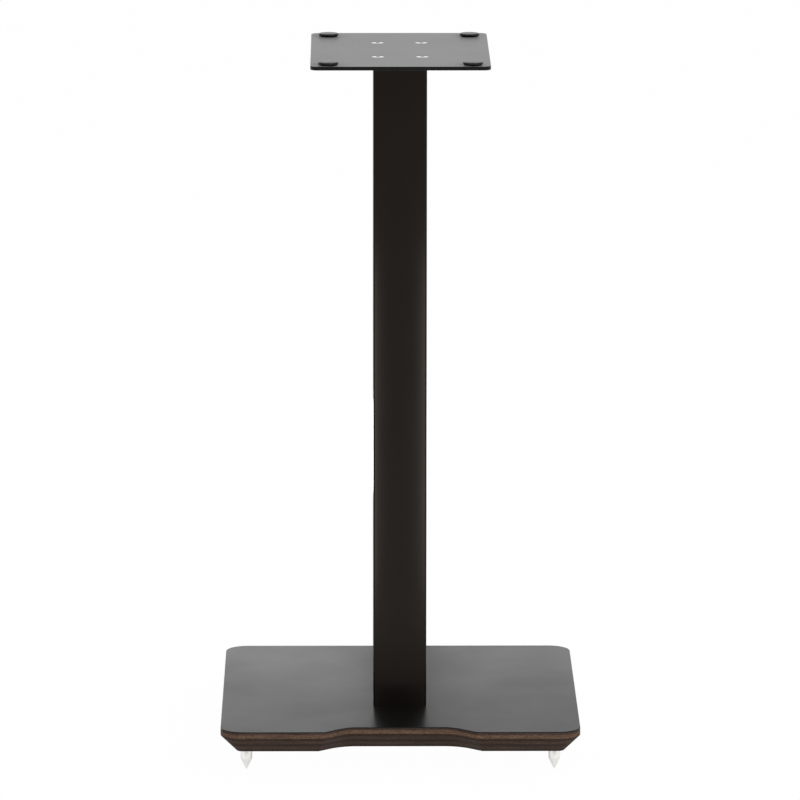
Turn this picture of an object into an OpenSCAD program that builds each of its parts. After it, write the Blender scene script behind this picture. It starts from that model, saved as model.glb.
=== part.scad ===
// Speaker stand: a steel plate on an extruded post, a shaped plywood base and four levelling spikes.
// Millimetres. The origin is on the floor under the middle of the base, and the front faces -Y.

/* [Base board] */
// Width of the base, left to right
base_w = 335; // [280:1:420]
// Depth of the base, front to back
base_d = 346; // [300:1:420]
// Thickness of the plywood board, without its top sheet
board_t = 21; // [18:0.5:30]
// Radius of the four outer corners, seen from above
base_corner_r = 21; // [17.5:0.5:40]
// Upright band that is left at the top of the board's edge
band_h = 6.2; // [3:0.1:9]
// How far the sloped undercut runs in under the edge
undercut_in = 15; // [10:0.5:17]

/* [Front recess] */
// How far the recess in the front edge runs back
recess_depth = 18.5; // [12:0.5:24]
// Width of the recess at its mouth, between the sharp corners
recess_mouth_w = 141; // [130:1:170]
// Width of the recess at its back, between the sharp corners
recess_floor_w = 98; // [90:1:115]
// Radius of the outer bends, at the mouth
recess_mouth_r = 4; // [3:0.5:15]
// Radius of the inner bends, at the back
recess_floor_r = 23; // [12:0.5:30]

/* [Base top sheet] */
// Thickness of the black sheet that is bonded on the board
sheet_t = 1; // [0.6:0.1:3]

/* [Post] */
// Width of the post, left to right
post_w = 50; // [46:1:70]
// Depth of the post, front to back, at its middle
post_d = 100; // [80:1:130]
// Length of the post
post_l = 613.8; // [300:0.1:800]
// How far the post stands in front of the middle of the base
post_forward = 22; // [0:1:40]
// How far the middle of the front and rear faces bulges past their edges
post_crown = 1.2; // [0.6:0.1:3]
// Radius of the post's four long edges
post_edge_r = 2; // [1:0.1:3]
// Wall thickness of the extrusion
post_wall = 2.5; // [2:0.1:4]
// Radius inside the corners of the two chambers
chamber_r = 1; // [0.5:0.1:2]
// Thickness of the web between the two chambers
post_web = 2.5; // [1.5:0.1:5]

/* [Screw ports] */
// Distance from the post's side faces to the port centres
port_side_in = 4.5; // [4.3:0.1:8]
// Distance from the middle of the post's front and rear faces to the port centres
port_end_in = 5.4; // [5.2:0.1:9]
// Bore of each screw port
port_bore = 5; // [4.6:0.1:5.4]
// Wall round each screw port
port_wall = 2; // [1.5:0.1:3]
// Depth of the tapped length at each end of a port
port_tap_depth = 25; // [20:1:40]

/* [Top plate] */
// Width of the top plate, left to right
plate_w = 166; // [140:1:220]
// Depth of the top plate, front to back
plate_d = 216; // [170:1:280]
// Thickness of the top plate
plate_t = 3.5; // [3.1:0.1:6]
// Radius of the plate's corners
plate_corner_r = 7; // [2:0.5:15]

/* [Plate pads] */
// Diameter of a rubber pad at its widest
pad_d = 18.9; // [14:0.1:26]
// Height of a rubber pad
pad_h = 3.3; // [3:0.1:5]
// Radius of the rounded upper rim of a pad
pad_rim_r = 1.6; // [0.3:0.1:1.6]
// Diameter of a pad at its foot, where it meets the plate
pad_foot_d = 15.6; // [8:0.1:18]
// Height over which a pad widens from its foot
pad_taper_h = 1.3; // [0.8:0.1:1.3]
// Distance from the plate's side edges to the pad centres
pad_side_in = 16.5; // [14:0.5:30]
// Distance from the plate's front edge to the centres of the front pads
pad_front_in = 10.5; // [10:0.5:30]
// Distance from the plate's rear edge to the centres of the rear pads
pad_rear_in = 23; // [10:0.5:30]

/* [Screws] */
// Nominal diameter of every screw and stud
thread_d = 6; // [5.6:0.1:6.2]
// Clearance round a screw in a tapped or through hole, on the radius
thread_fit = 0.05; // [0.02:0.01:0.1]
// Clearance round a screw in a drilled hole, on the radius
drill_fit = 0.3; // [0.2:0.05:0.5]
// Diameter of a countersunk head
sunk_head_d = 11.6; // [10.5:0.1:11.8]
// How far a countersunk head lies below the plate's face
sunk_drop = 0.1; // [0:0.05:0.15]
// Clearance round a countersunk head, on the radius
sunk_fit = 0.1; // [0.05:0.05:0.2]
// How far the plate screws reach into the post
plate_screw_grip = 16; // [10:1:19]
// Key width of the hexagon sockets in the plate screws
sunk_key = 4; // [3:0.5:4.5]
// Depth of the hexagon sockets in the plate screws
sunk_key_depth = 2.3; // [1.5:0.1:2.6]
// Head diameter of the base screws
cap_head_d = 10; // [9:0.1:11]
// Head height of the base screws
cap_head_h = 6; // [4:0.1:6.2]
// Key width of the hexagon sockets in the base screws
cap_key = 5; // [4:0.5:5]
// Depth of the hexagon sockets in the base screws
cap_key_depth = 3; // [2:0.1:3.5]
// How far the base screws reach into the post
base_screw_grip = 16; // [10:1:19]
// Outer diameter of the washers under the base screws
washer_d = 12; // [11.5:0.1:13]
// Thickness of the washers
washer_t = 1.6; // [1:0.1:2]
// Diameter of the counterbores in the board's underside
counterbore_d = 14; // [13.5:0.5:18]
// Depth of the counterbores
counterbore_depth = 8.5; // [8.3:0.1:10]

/* [Spikes] */
// Distance from the base's edges to the spike centres
spike_in = 24; // [23.5:0.5:45]
// Body diameter of a spike
spike_d = 10.8; // [9:0.1:12]
// Height of a spike below the board
spike_drop = 18.7; // [15:0.1:30]
// Height of the cone at the end of a spike
spike_cone_h = 9.1; // [8:0.1:12]
// Height of the sloped shoulder between a spike's cone and its body
spike_shoulder_h = 2.3; // [1:0.1:2.4]
// How much narrower the top of the cone is than the body, on the radius
spike_shoulder_in = 0.65; // [0.2:0.05:1]
// Radius of the blunted point
spike_tip_r = 0.4; // [0.2:0.05:1]
// Bevel at the upper end of a spike's body
spike_bevel = 0.5; // [0.2:0.1:1]
// Length of the threaded stud above a spike's shoulder
stud_l = 15; // [12:0.5:15.5]
// Bevel at the end of the stud
stud_bevel = 0.8; // [0.3:0.1:1.2]

/* [Spike inserts] */
// Length of the threaded inserts in the board
insert_l = 15; // [12:0.5:15.5]
// Outer diameter of the inserts
insert_d = 11; // [9:0.5:12]
// Diameter of the inserts' flange, flush with the board's underside
insert_flange_d = 14; // [13:0.5:14.5]
// Thickness of the flange
insert_flange_t = 1.2; // [0.8:0.1:2]
// Clearance round an insert in the board, on the radius
insert_fit = 0.05; // [0.03:0.01:0.2]
// Empty depth that is left above the insert in its hole
insert_relief = 1.5; // [1:0.5:2]

/* [Hidden] */
$fn = 64;

// Overlap by which a cutting shape passes a face that it cuts through
past = 0.5;
// Amount by which the radius of a round undercut is larger than the outline's, so that it
// crosses the straight undercuts beside it along a clear line
seam = 0.02;
// Length by which a straight undercut runs on into a round one, at an outward bend
run_on = 1.5;
// Angle by which a round undercut runs on into the straight ones, at an inward bend
lap = 5;

// Levels, from the floor up
board_z = spike_drop;
sheet_z = board_z + board_t;
post_z = sheet_z + sheet_t;
plate_z = post_z + post_l;
pad_z = plate_z + plate_t;

// Left, right, front and rear of the named places
left = -1;
right = 1;
front = -1;
rear = 1;

// Places that repeat
post_y = -post_forward;
port_x = post_w / 2 - port_side_in;
port_y = post_d / 2 - port_end_in;
pad_x = plate_w / 2 - pad_side_in;
pad_front_y = post_y - plate_d / 2 + pad_front_in;
pad_rear_y = post_y + plate_d / 2 - pad_rear_in;
spike_x = base_w / 2 - spike_in;
spike_y = base_d / 2 - spike_in;

// Outline of the base, anticlockwise from the front left corner: each corner is [x, y, radius]
base_corners = [
    [-base_w / 2, -base_d / 2, base_corner_r],
    [-recess_mouth_w / 2, -base_d / 2, recess_mouth_r],
    [-recess_floor_w / 2, -base_d / 2 + recess_depth, recess_floor_r],
    [recess_floor_w / 2, -base_d / 2 + recess_depth, recess_floor_r],
    [recess_mouth_w / 2, -base_d / 2, recess_mouth_r],
    [base_w / 2, -base_d / 2, base_corner_r],
    [base_w / 2, base_d / 2, base_corner_r],
    [-base_w / 2, base_d / 2, base_corner_r]
];
plate_corners = [
    for (c = [[left, front], [right, front], [right, rear], [left, rear]])
        [c[0] * plate_w / 2, c[1] * plate_d / 2, plate_corner_r]
];

// Undercut of the board's edge
undercut_h = board_t - band_h;
undercut_slope = undercut_h / undercut_in;

// Crowned section of the post
half_chord = post_w / 2;
crown_r = (half_chord * half_chord + post_crown * post_crown) / (2 * post_crown);

// Countersunk head: a 90 degree cone down to the thread
sunk_cone_h = (sunk_head_d - thread_d) / 2;

// Geometry of a rounded corner
function xy(p) = [p[0], p[1]];
function unit(v) = v / norm(v);
function corner(list, i) = xy(list[(i + len(list)) % len(list)]);
function to_prev(list, i) = unit(corner(list, i - 1) - corner(list, i));
function to_next(list, i) = unit(corner(list, i + 1) - corner(list, i));
function half_angle(list, i) = acos(to_prev(list, i) * to_next(list, i)) / 2;
function reach(list, i) = list[i][2] / tan(half_angle(list, i));
function entry(list, i) = corner(list, i) + reach(list, i) * to_prev(list, i);
function leave(list, i) = corner(list, i) + reach(list, i) * to_next(list, i);
function centre(list, i) = corner(list, i)
    + list[i][2] / sin(half_angle(list, i)) * unit(to_prev(list, i) + to_next(list, i));
function heading(v) = atan2(v[1], v[0]);
function is_convex(list, i) = cross(-to_prev(list, i), to_next(list, i)) > 0;

// The piece between a sharp corner and its rounding, run on past the corner
module corner_web(list, i) {
    tip = corner(list, i) + past * unit(corner(list, i) - centre(list, i));
    difference() {
        polygon(is_convex(list, i)
            ? [tip, leave(list, i), centre(list, i), entry(list, i)]
            : [tip, entry(list, i), centre(list, i), leave(list, i)]);
        translate(centre(list, i)) circle(list[i][2]);
    }
}

// A closed outline with each corner rounded to its own radius
module rounded_outline(list) {
    difference() {
        union() {
            polygon([for (p = list) xy(p)]);
            for (i = [0:len(list) - 1])
                if (!is_convex(list, i)) corner_web(list, i);
        }
        for (i = [0:len(list) - 1])
            if (is_convex(list, i)) corner_web(list, i);
    }
}

// Wedge that slopes in under one straight stretch of an outline, from corner i to the next
module straight_undercut(list, i, slope, run_in) {
    next = (i + 1) % len(list);
    span = entry(list, next) - leave(list, i);
    before = is_convex(list, i) ? run_on : 0;
    after = is_convex(list, next) ? run_on : 0;
    translate(leave(list, i))
        rotate(heading(span))
            translate([-before, 0, 0])
                rotate([90, 0, 90])
                    linear_extrude(norm(span) + before + after)
                        polygon([
                            [-past, (run_in + past) * slope],
                            [-past, -past * slope],
                            [run_in + past, -past * slope]
                        ]);
}

// The same slope round an outward bend: the lower rim shrinks towards the bend's centre
module convex_undercut(list, i, slope, run_in) {
    r = list[i][2] + seam;
    inner = max(0, r - run_in - past);
    begin = heading(-to_prev(list, i)) - 90;
    turn = 180 - 2 * half_angle(list, i);
    translate(centre(list, i))
        rotate(begin)
            rotate_extrude(angle = turn)
                polygon([
                    if (r < run_in + past) [0, -past * slope],
                    [r + past, -past * slope],
                    [r + past, (run_in + past) * slope],
                    [inner, (run_in - r + inner) * slope]
                ]);
}

// The same slope round an inward bend: the lower rim grows away from the bend's centre
module concave_undercut(list, i, slope, run_in) {
    r = list[i][2] + seam;
    turn = 180 - 2 * half_angle(list, i);
    begin = heading(to_next(list, i)) + 90;
    translate(centre(list, i))
        rotate(begin - lap)
            rotate_extrude(angle = turn + 2 * lap)
                polygon([
                    [r - past, -past * slope],
                    [r + run_in + past, -past * slope],
                    [r - past, (run_in + past) * slope]
                ]);
}

module outline_undercut(list, slope, run_in) {
    for (i = [0:len(list) - 1]) {
        straight_undercut(list, i, slope, run_in);
        if (is_convex(list, i)) {
            convex_undercut(list, i, slope, run_in);
        } else {
            concave_undercut(list, i, slope, run_in);
        }
    }
}

// Copies at the four screw ports of the post
module at_ports() {
    for (side = [left, right], end = [front, rear])
        translate([side * port_x, post_y + end * port_y, 0]) children();
}

module hexagon_key(width, depth) {
    cylinder(d = width / cos(30), h = depth, $fn = 6);
}

// Screw with a socket in a round head: its head stands on z = 0 and its shank runs up
module cap_screw(length) {
    difference() {
        union() {
            translate([0, 0, -cap_head_h]) cylinder(d = cap_head_d, h = cap_head_h);
            cylinder(d = thread_d, h = length);
        }
        translate([0, 0, -cap_head_h - past]) hexagon_key(cap_key, cap_key_depth + past);
    }
}

// Countersunk screw: its head ends at z = 0 and its shank runs down
module sunk_screw(length) {
    difference() {
        rotate_extrude()
            polygon([
                [0, 0],
                [sunk_head_d / 2, 0],
                [thread_d / 2, -sunk_cone_h],
                [thread_d / 2, -length],
                [0, -length]
            ]);
        translate([0, 0, -sunk_key_depth]) hexagon_key(sunk_key, sunk_key_depth + past);
    }
}

// Plywood board: shaped outline, undercut edge, counterbored screw holes and insert holes
module base_board() {
    color("#4a3a31")
        translate([0, 0, board_z])
            difference() {
                linear_extrude(board_t) rounded_outline(base_corners);
                outline_undercut(base_corners, undercut_slope, undercut_in);
                at_ports() {
                    translate([0, 0, -past]) cylinder(d = counterbore_d, h = counterbore_depth + past);
                    cylinder(r = thread_d / 2 + drill_fit, h = board_t + past);
                }
                for (side = [left, right], end = [front, rear])
                    translate([side * spike_x, end * spike_y, -past]) {
                        cylinder(r = insert_d / 2 + insert_fit, h = insert_l + insert_relief + past);
                        cylinder(r = insert_flange_d / 2 + insert_fit, h = insert_flange_t + past);
                    }
            }
}

module base_top_sheet() {
    color("#2a2a2b")
        translate([0, 0, sheet_z])
            difference() {
                linear_extrude(sheet_t) rounded_outline(base_corners);
                at_ports() translate([0, 0, -past])
                    cylinder(r = thread_d / 2 + drill_fit, h = sheet_t + 2 * past);
            }
}

// Rectangle whose front and rear sides are shallow arcs, with rounded corners
module crowned_section(width, depth, arc_r, corner_r) {
    bend_x = width / 2 - corner_r;
    bend_y = depth / 2 - arc_r + sqrt(pow(arc_r - corner_r, 2) - bend_x * bend_x);
    meet_x = bend_x * arc_r / (arc_r - corner_r);
    intersection() {
        square([2 * meet_x, depth], center = true);
        translate([0, depth / 2 - arc_r]) circle(arc_r, $fn = 720);
        translate([0, arc_r - depth / 2]) circle(arc_r, $fn = 720);
    }
    square([width, 2 * bend_y], center = true);
    for (side = [left, right], end = [front, rear])
        translate([side * bend_x, end * bend_y]) circle(corner_r);
}

// Section of the extrusion: a crowned tube with a web and a screw port in each corner
module post_section() {
    difference() {
        crowned_section(post_w, post_d, crown_r, post_edge_r);
        difference() {
            crowned_section(post_w - 2 * post_wall, post_d - 2 * post_wall, crown_r - post_wall, chamber_r);
            square([post_w, post_web], center = true);
            for (side = [left, right], end = [front, rear])
                translate([side * port_x, end * port_y]) circle(port_bore / 2 + port_wall);
        }
        for (side = [left, right], end = [front, rear])
            translate([side * port_x, end * port_y]) circle(port_bore / 2);
    }
}

module post() {
    color("#24211e")
        difference() {
            translate([0, post_y, post_z]) linear_extrude(post_l) post_section();
            at_ports() {
                translate([0, 0, post_z - past])
                    cylinder(r = thread_d / 2 + thread_fit, h = port_tap_depth + past);
                translate([0, 0, plate_z - port_tap_depth])
                    cylinder(r = thread_d / 2 + thread_fit, h = port_tap_depth + past);
            }
        }
}

// Steel plate with a countersunk hole over each screw port
module top_plate() {
    sunk_r = sunk_head_d / 2 + sunk_fit;
    sunk_depth = sunk_drop + sunk_cone_h;
    color("#2b2b2c")
        difference() {
            translate([0, post_y, plate_z]) linear_extrude(plate_t) rounded_outline(plate_corners);
            at_ports() {
                translate([0, 0, plate_z - past])
                    cylinder(r = thread_d / 2 + sunk_fit, h = plate_t + 2 * past);
                translate([0, 0, pad_z - sunk_depth])
                    cylinder(r1 = thread_d / 2 + sunk_fit, r2 = sunk_r, h = sunk_cone_h);
                translate([0, 0, pad_z - sunk_drop]) cylinder(r = sunk_r, h = sunk_drop + past);
            }
        }
}

module top_plate_screws() {
    color("#d6d6d2")
        at_ports() translate([0, 0, pad_z - sunk_drop])
            sunk_screw(plate_t - sunk_drop + plate_screw_grip);
}

// Rubber pad: it widens from a narrow foot, and its upper rim is rounded
module pad(side, end) {
    r = pad_d / 2;
    color("#1a1a1b")
        translate([side * pad_x, end == front ? pad_front_y : pad_rear_y, pad_z])
            rotate_extrude() {
                polygon([
                    [0, 0],
                    [pad_foot_d / 2, 0],
                    [r, pad_taper_h],
                    [r, pad_h - pad_rim_r],
                    [r - pad_rim_r, pad_h - pad_rim_r],
                    [r - pad_rim_r, pad_h],
                    [0, pad_h]
                ]);
                translate([r - pad_rim_r, pad_h - pad_rim_r]) circle(pad_rim_r);
            }
}

module base_screws() {
    color("#c8c8c4")
        at_ports() translate([0, 0, board_z + counterbore_depth - washer_t])
            cap_screw(board_t - counterbore_depth + sheet_t + washer_t + base_screw_grip);
}

module base_screw_washers() {
    color("#b9b9b4")
        at_ports() translate([0, 0, board_z + counterbore_depth - washer_t])
            difference() {
                cylinder(d = washer_d, h = washer_t);
                translate([0, 0, -past])
                    cylinder(r = thread_d / 2 + drill_fit, h = washer_t + 2 * past);
            }
}

// Flanged threaded insert, let into the underside of the board
module insert(side, end) {
    bore_r = thread_d / 2 + thread_fit;
    color("#c9a552")
        translate([side * spike_x, end * spike_y, board_z])
            rotate_extrude()
                polygon([
                    [bore_r, 0],
                    [insert_flange_d / 2, 0],
                    [insert_flange_d / 2, insert_flange_t],
                    [insert_d / 2, insert_flange_t],
                    [insert_d / 2, insert_l],
                    [bore_r, insert_l]
                ]);
}

// Turned spike: a stud, a round body that seats under the board, a sloped shoulder and a blunted cone
module spike(side, end) {
    color("#e4e2dd")
        translate([side * spike_x, end * spike_y, 0])
            rotate_extrude()
                polygon([
                    [0, 0],
                    [spike_tip_r, 0],
                    [spike_d / 2 - spike_shoulder_in, spike_cone_h],
                    [spike_d / 2, spike_cone_h + spike_shoulder_h],
                    [spike_d / 2, spike_drop - spike_bevel],
                    [spike_d / 2 - spike_bevel, spike_drop],
                    [thread_d / 2, spike_drop],
                    [thread_d / 2, spike_drop + stud_l - stud_bevel],
                    [thread_d / 2 - stud_bevel, spike_drop + stud_l],
                    [0, spike_drop + stud_l]
                ]);
}

base_board();
base_top_sheet();
post();
top_plate();
top_plate_screws();
pad(left, front);  // pad_front_left
pad(right, front);  // pad_front_right
pad(left, rear);  // pad_rear_left
pad(right, rear);  // pad_rear_right
base_screws();
base_screw_washers();
insert(left, front);  // insert_front_left
insert(right, front);  // insert_front_right
insert(left, rear);  // insert_rear_left
insert(right, rear);  // insert_rear_right
spike(left, front);  // spike_front_left
spike(right, front);  // spike_front_right
spike(left, rear);  // spike_rear_left
spike(right, rear);  // spike_rear_right
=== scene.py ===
"""Looks of a speaker stand: a steel plate on a coated post, over a plywood base on four spikes.

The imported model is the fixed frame. Every visible piece is built here at the frame's sizes, gets
the finish of the real material, and stands for its node of the frame. Lengths in the classes are
millimetres where nothing else is said, and are turned into metres where a mesh is made.
"""

from __future__ import annotations

import logging
import math
from dataclasses import dataclass, field
from enum import Enum
from typing import Iterable, Sequence, Union

import bmesh
import bpy
from bmesh.types import BMesh, BMFace, BMVert
from bpy.types import Mesh, Node, NodeOutputs, NodeTree, Object
from mathutils import Matrix, Vector


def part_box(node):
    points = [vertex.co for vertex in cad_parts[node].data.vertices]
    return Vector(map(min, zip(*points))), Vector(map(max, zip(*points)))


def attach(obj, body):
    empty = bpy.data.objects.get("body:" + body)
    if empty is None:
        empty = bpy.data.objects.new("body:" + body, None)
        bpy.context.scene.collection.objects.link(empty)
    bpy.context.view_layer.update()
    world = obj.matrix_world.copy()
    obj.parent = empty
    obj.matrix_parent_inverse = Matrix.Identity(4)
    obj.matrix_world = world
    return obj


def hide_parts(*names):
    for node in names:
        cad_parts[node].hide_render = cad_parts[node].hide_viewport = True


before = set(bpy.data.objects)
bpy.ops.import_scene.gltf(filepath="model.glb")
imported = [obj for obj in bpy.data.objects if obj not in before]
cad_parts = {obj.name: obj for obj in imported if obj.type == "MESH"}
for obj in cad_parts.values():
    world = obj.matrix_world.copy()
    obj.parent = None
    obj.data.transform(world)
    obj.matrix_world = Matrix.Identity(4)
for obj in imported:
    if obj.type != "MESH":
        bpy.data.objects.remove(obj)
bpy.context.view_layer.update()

MM = 0.001
SHARP_ANGLE = math.radians(32.0)
LOG = logging.getLogger("speaker_stand")

Socket = bpy.types.NodeSocket
Input = Union[float, int, bool, str, Sequence[float], bpy.types.ID, Socket]
Size = tuple[float, float, float]


def linear(code: str) -> tuple[float, float, float, float]:
    """Turn an sRGB hex colour into linear RGBA.

    Args:
        code: The colour as six hex digits after a hash sign.

    Returns:
        The linear red, green and blue, with an alpha of 1.
    """
    toe_end, toe_slope, offset, gamma = 0.04045, 12.92, 0.055, 2.4

    def channel(value: float) -> float:
        """Turn one sRGB channel into a linear one.

        Args:
            value: The sRGB value, from 0 to 1.

        Returns:
            The linear value.
        """
        if value <= toe_end:
            return value / toe_slope
        return ((value + offset) / (1 + offset)) ** gamma

    red, green, blue = (channel(int(code[i : i + 2], 16) / 255) for i in (1, 3, 5))
    return red, green, blue, 1.0


def millimetres(low_corner: Vector, high_corner: Vector) -> tuple[Vector, Vector]:
    """Both corners of a box of the frame, in millimetres."""
    return low_corner / MM, high_corner / MM


# Node trees and finishes


@dataclass(frozen=True)
class Mottle:
    """A noise that darkens and lightens a colour."""

    size: Size  # Size of one blotch along each axis
    detail: float  # Number of finer octaves
    dark: float  # Factor where it is darkest
    light: float  # Factor where it is lightest


@dataclass(frozen=True)
class Graph:
    """A node tree that is filled node by node."""

    QUIET, LOUD = 0.3, 0.7  # The range that a noise mostly keeps to

    tree: NodeTree

    @classmethod
    def of_owner(cls, owner: bpy.types.Material | bpy.types.World) -> Graph:
        """The emptied tree of a material or a world.

        Args:
            owner: The material or the world.

        Returns:
            Its tree, emptied.
        """
        owner.use_nodes = True
        owner.node_tree.nodes.clear()
        return cls(owner.node_tree)

    def add(self, kind: str, inputs: dict[str | int, Input], **settings: object) -> Node:
        """Add a node with its settings, values and links.

        Args:
            kind: The node's type name.
            inputs: The value or the socket for each input, by name or by number.
            settings: Attributes of the node itself.

        Returns:
            The new node.
        """
        node = self.tree.nodes.new(kind)
        for name, value in settings.items():
            setattr(node, name, value)
        for key, value in inputs.items():
            if isinstance(value, Socket):
                self.tree.links.new(value, node.inputs[key])
            else:
                node.inputs[key].default_value = value
        return node

    def math(self, operation: str, *values: Input) -> Socket:
        """The result of one arithmetic step."""
        return self.add("ShaderNodeMath", dict(enumerate(values)), operation=operation).outputs[0]

    def axes(self, output: str = "Object") -> NodeOutputs:
        """The three coordinates of a place or a direction."""
        place = self.add("ShaderNodeTexCoord", {}).outputs[output]
        return self.add("ShaderNodeSeparateXYZ", {"Vector": place}).outputs

    def ramp(
        self, value: Socket, start: float, end: float, low: Input, high: Input, soft: bool = False
    ) -> Socket:
        """Map a range onto another one.

        Args:
            value: The value that is mapped.
            start: The start of its range.
            end: The end of its range.
            low: The result up to the start.
            high: The result from the end.
            soft: True to ease in and out.

        Returns:
            The mapped value.
        """
        return self.add("ShaderNodeMapRange", {
            "Value": value, "From Min": start, "From Max": end, "To Min": low, "To Max": high,
        }, interpolation_type="SMOOTHSTEP" if soft else "LINEAR").outputs["Result"]

    def noise(self, size: Size, detail: float = 2.0) -> Socket:
        """Noise on Object coordinates.

        Args:
            size: The size of one blotch along each axis.
            detail: The number of finer octaves.

        Returns:
            The noise's factor.
        """
        mapping = self.add("ShaderNodeMapping", {
            "Vector": self.add("ShaderNodeTexCoord", {}).outputs["Object"],
            "Scale": [1 / (length * MM) for length in size],
        })
        return self.add("ShaderNodeTexNoise", {
            "Vector": mapping.outputs["Vector"], "Scale": 1.0, "Detail": detail,
        }).outputs["Fac"]

    def spread(self, noise: Socket, low: float, high: float) -> Socket:
        """A noise, with its useful range mapped onto another one."""
        return self.ramp(noise, self.QUIET, self.LOUD, low, high)

    def wander(self, noise: Socket, middle: float, reach: float) -> Socket:
        """A value that wanders with a noise to both sides of its middle."""
        return self.spread(noise, middle - reach, middle + reach)

    def mottled(self, colour: Input, *mottles: Mottle) -> Socket:
        """A colour with mottles over it.

        Args:
            colour: The plain colour.
            mottles: The mottles.

        Returns:
            The mottled colour.
        """
        for mottle in mottles:
            factor = self.spread(self.noise(mottle.size, mottle.detail), mottle.dark, mottle.light)
            colour = self.add(
                "ShaderNodeVectorMath", {0: colour, "Scale": factor}, operation="SCALE"
            ).outputs["Vector"]
        return colour

    def bump(self, shader: Node, height: Socket, depth: float) -> None:
        """Raise a shader's surface by a pattern, to a depth in millimetres."""
        bumped = self.add("ShaderNodeBump", {"Height": height, "Distance": depth * MM}).outputs[0]
        self.tree.links.new(bumped, shader.inputs["Normal"])


@dataclass(frozen=True)
class Finish:
    """A surface finish that builds its own material."""

    name: str  # The material's name, after the real one
    colour: str  # The main colour, as sRGB hex
    roughness: float  # The mean roughness
    specular: float = 0.5  # The specular level, where 0.5 is a plain dielectric

    def material(self) -> bpy.types.Material:
        """Build the material, or return it if it has been built.

        Returns:
            The material.
        """
        made = bpy.data.materials.get(self.name)
        if made:
            return made
        made = bpy.data.materials.new(self.name)
        made.diffuse_color = linear(self.colour)
        graph = Graph.of_owner(made)
        shader = graph.add("ShaderNodeBsdfPrincipled", {
            "Base Color": linear(self.colour),
            "Roughness": self.roughness,
            "Specular IOR Level": self.specular,
        })
        graph.add("ShaderNodeOutputMaterial", {"Surface": shader.outputs["BSDF"]})
        self.dress(graph, shader)
        return made

    def dress(self, graph: Graph, shader: Node) -> None:
        """Add the finish's own pattern to the plain shader."""
        raise NotImplementedError


@dataclass(frozen=True)
class SatinCoat(Finish):
    """Black satin coat: polyester powder baked on metal, or the like face of a laminate sheet.

    It gives an even, slightly soft reflection that turns pale at a grazing angle, with a faint
    orange peel.
    """

    # Size of the orange peel. The real one is about 0.4 mm, and is drawn coarser so that it shows.
    peel: float = 1.6
    peel_depth: float = 0.004  # Height of the orange peel
    cloud: float = 60.0  # Size of the clouds over which the roughness wanders
    uneven: float = 0.02  # How far it wanders to each side of its mean
    tint: str = "#FFFFFF"  # Tint of the reflection, as sRGB hex
    sheen: float = 0.0  # Weight of the pale veil at a grazing angle that a fine matt texture gives
    sheen_roughness: float = 0.3  # Roughness of that veil

    def dress(self, graph: Graph, shader: Node) -> None:
        """Add the tint, the veil, the wandering gloss and the orange peel.

        Args:
            graph: The material's tree.
            shader: Its principled shader.
        """
        shader.inputs["Specular Tint"].default_value = linear(self.tint)
        shader.inputs["Sheen Weight"].default_value = self.sheen
        shader.inputs["Sheen Roughness"].default_value = self.sheen_roughness
        gloss = graph.wander(graph.noise((self.cloud,) * 3, 3.0), self.roughness, self.uneven)
        graph.tree.links.new(gloss, shader.inputs["Roughness"])
        graph.bump(shader, graph.noise((self.peel,) * 3), self.peel_depth)


@dataclass(frozen=True)
class StainedPlywood(Finish):
    """Birch plywood, stained dark brown and sealed, with its plies showing at the edge.

    Plies with their grain along the edge look lighter and streaky, and plies seen from their end
    look darker, with thin dark glue lines between them.
    """

    # Thickness in millimetres and colour of each ply, from the top down
    plies: tuple[tuple[float, str], ...] = ()
    top: float = 0.0  # Height of the board's upper face
    glue: str = "#2A1F1A"  # Colour of the glue lines
    glue_line: float = 0.25  # Thickness of a glue line
    wander: float = 0.5  # How far a glue line wanders up and down
    wave: Size = (70.0, 70.0, 400.0)  # Size of the waves in which it wanders
    # The streaks of the grain, the patches of the stain and the flecks
    mottles: tuple[Mottle, ...] = (
        Mottle((45.0, 45.0, 0.5), 4.0, 0.72, 1.3),
        Mottle((22.0, 22.0, 3.0), 2.0, 0.88, 1.12),
        Mottle((2.6, 2.6, 0.7), 2.0, 0.66, 1.4),
    )
    pores: Size = (9.0, 9.0, 0.35)  # Size of the pores along each axis
    pore_depth: float = 0.05  # Their depth

    def dress(self, graph: Graph, shader: Node) -> None:
        """Add the plies, the streaks of the grain and the pores.

        Args:
            graph: The material's tree.
            shader: Its principled shader.
        """
        drift = graph.wander(graph.noise(self.wave), 0.0, self.wander * MM / 2)
        level = graph.math("ADD", graph.axes()["Z"], drift)
        depth = sum(thickness for thickness, _ in self.plies)
        share = graph.ramp(level, (self.top - depth) * MM, self.top * MM, 0.0, 1.0)
        layers = graph.add("ShaderNodeValToRGB", {"Fac": share})
        self.paint_plies(layers.color_ramp, depth)
        colour = graph.mottled(layers.outputs["Color"], *self.mottles)
        graph.tree.links.new(colour, shader.inputs["Base Color"])
        graph.bump(shader, graph.noise(self.pores, 3.0), self.pore_depth)

    def paint_plies(self, ramp: bpy.types.ColorRamp, depth: float) -> None:
        """Fill a colour ramp with the plies, from the bottom up.

        Args:
            ramp: The ramp to fill, from the board's lower face to its upper one.
            depth: The plies' total thickness.
        """
        while len(ramp.elements) > 1:
            ramp.elements.remove(ramp.elements[0])
        ramp.elements[0].position = 0.0
        ramp.elements[0].color = linear(self.plies[-1][1])
        height, edge = 0.0, self.glue_line / depth
        for thickness, code in reversed(self.plies):
            if height > 0:
                ramp.elements.new(height).color = linear(self.glue)
                ramp.elements.new(height + edge).color = linear(code)
            height += thickness / depth
            ramp.elements.new(min(height - edge, 1.0)).color = linear(code)


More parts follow.
